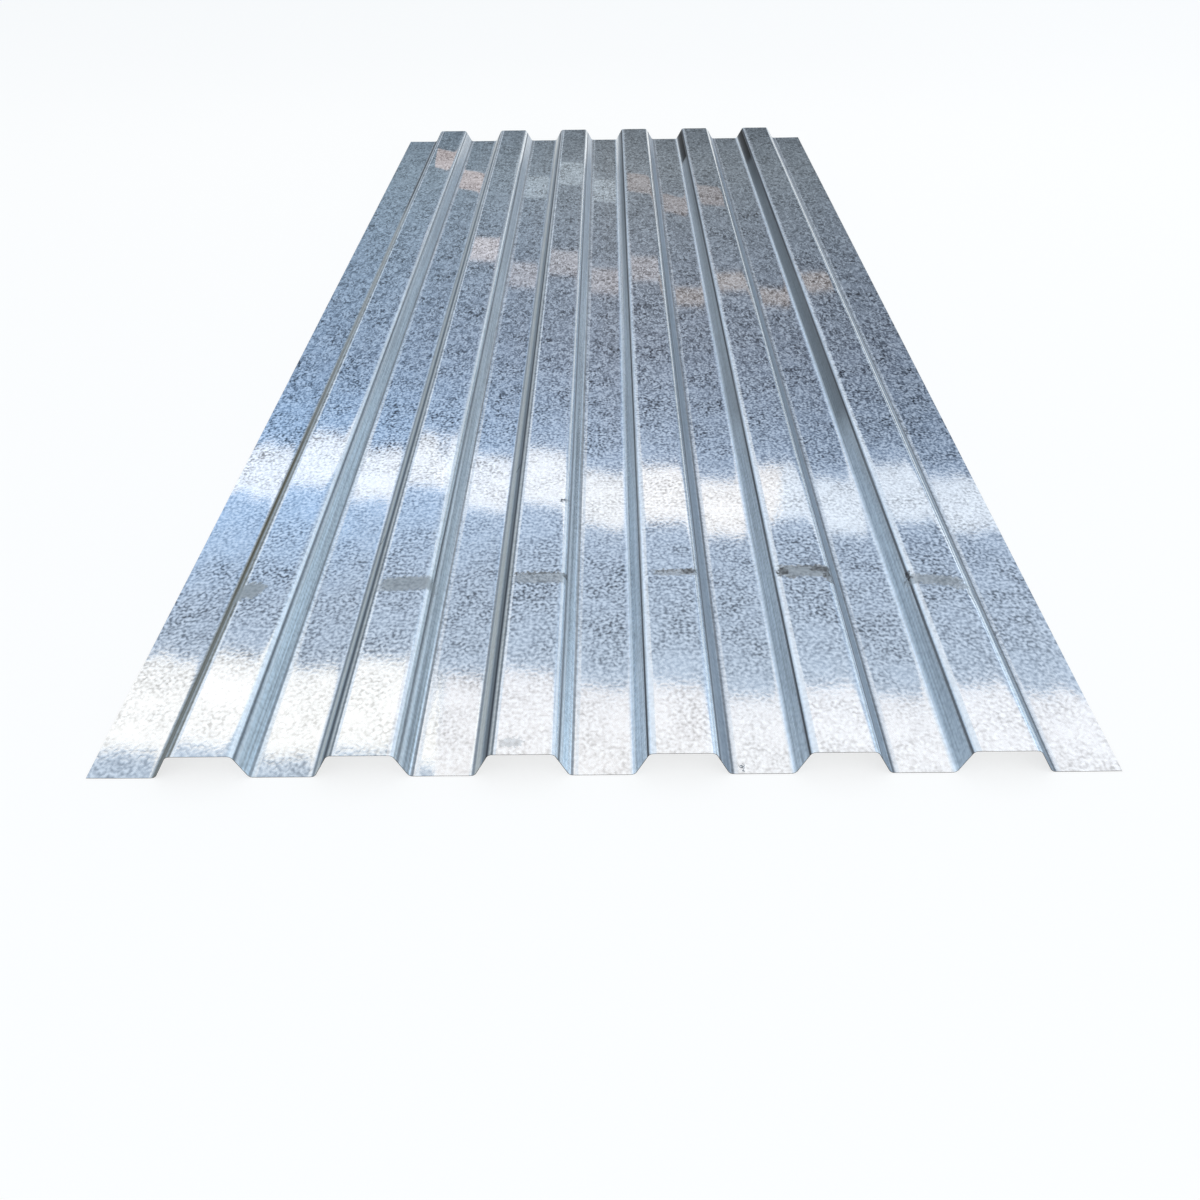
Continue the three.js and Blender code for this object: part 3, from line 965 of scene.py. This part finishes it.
# each lamp: its middle and size in metres, the way it faces (degrees: 0 to the front, 90 down, 180 to the
# back), how far it is turned in its own plane, and its colour at full strength
softboxes = {
    "farLeft": {"centre": (-1.032, 1.547, 1.092), "size": (1.010, 0.165), "facing": 35, "lean": 0.73,
                "colour": (0.93, 0.72, 0.45)},
    "farMiddle": {"centre": (-0.214, 1.512, 1.142), "size": (0.636, 0.171), "facing": 35, "lean": 9.10,
                  "colour": (0.91, 0.74, 0.53)},
    "farRight": {"centre": (0.320, 1.475, 1.190), "size": (0.440, 0.173), "facing": 35, "lean": 0.71,
                 "colour": (1.06, 0.84, 0.59)},
    "farEnd": {"centre": (1.370, 1.475, 1.198), "size": (1.660, 0.173), "facing": 35, "lean": 0.71,
               "colour": (0.74, 0.68, 0.59)},
    "nearLeft": {"centre": (-1.675, 1.776, 2.194), "size": (2.002, 0.348), "facing": 45, "lean": 2.29,
                 "colour": (1.0, 0.8, 0.55)},
    "nearMiddle": {"centre": (-0.171, 1.675, 2.295), "size": (1.009, 0.445), "facing": 45, "lean": 5.72,
                   "colour": (0.75, 0.56, 0.39)},
    "nearRight": {"centre": (1.984, 1.621, 2.349), "size": (3.307, 0.479), "facing": 45, "lean": 0.30,
                  "colour": (0.76, 0.59, 0.44)},
    "lowLeft": {"centre": (-0.378, 1.875, 0.532), "size": (0.144, 0.072), "facing": 20, "lean": 3.02,
                "colour": (0.53, 0.40, 0.33)},
    "lowMiddle": {"centre": (-0.061, 1.858, 0.579), "size": (0.493, 0.076), "facing": 20, "lean": 4.84,
                  "colour": (0.30, 0.23, 0.19)},
    "lowRight": {"centre": (0.451, 1.838, 0.633), "size": (0.533, 0.055), "facing": 20, "lean": 0.93,
                 "colour": (0.29, 0.19, 0.10)},
    "backLeft": {"centre": (-0.478, 2.225, 0.356), "size": (0.150, 0.061), "facing": 15, "lean": 12.61,
                 "colour": (0.43, 0.27, 0.19)},
    "backMiddle": {"centre": (-0.108, 2.216, 0.392), "size": (0.312, 0.069), "facing": 15, "lean": 3.50,
                   "colour": (0.21, 0.23, 0.24)},
    "backRight": {"centre": (0.234, 2.201, 0.445), "size": (0.345, 0.056), "facing": 15, "lean": 10.07,
                  "colour": (0.18, 0.11, 0.07)},
    "rightStrip": {"centre": (1.75, 3.5, 1.6), "size": (0.30, 11.0), "facing": 90, "lean": 0,
                   "colour": (0.8, 0.85, 0.9)},
    "top": {"centre": (-1.0, -2.2, 3.2), "size": (8.0, 8.0), "facing": 180, "lean": 0,
            "colour": (0.36, 0.36, 0.36)},
}


def makeLights(boxes):
    for name, box in boxes.items():
        data = bpy.data.lights.new(name, "AREA")
        data.shape = "RECTANGLE"
        data.size, data.size_y = box["size"]
        # a flat lamp of this many watts has its colour as its radiance
        data.color = box["colour"]
        data.energy = math.pi * box["size"][0] * box["size"][1]
        lamp = bpy.data.objects.new(name, data)
        tip = Matrix.Rotation(math.radians(box["facing"] - 90), 4, "X")
        lean = Matrix.Rotation(math.radians(-box["lean"]), 4, "Z")
        lamp.matrix_world = Matrix.Translation(box["centre"]) @ tip @ lean
        lamp.visible_camera = False
        bpy.context.scene.collection.objects.link(lamp)


makeFloor(studio)
makeWorld(sky)
makeLights(softboxes)
bpy.context.scene.view_settings.view_transform = "Standard"
print("floor and light set")
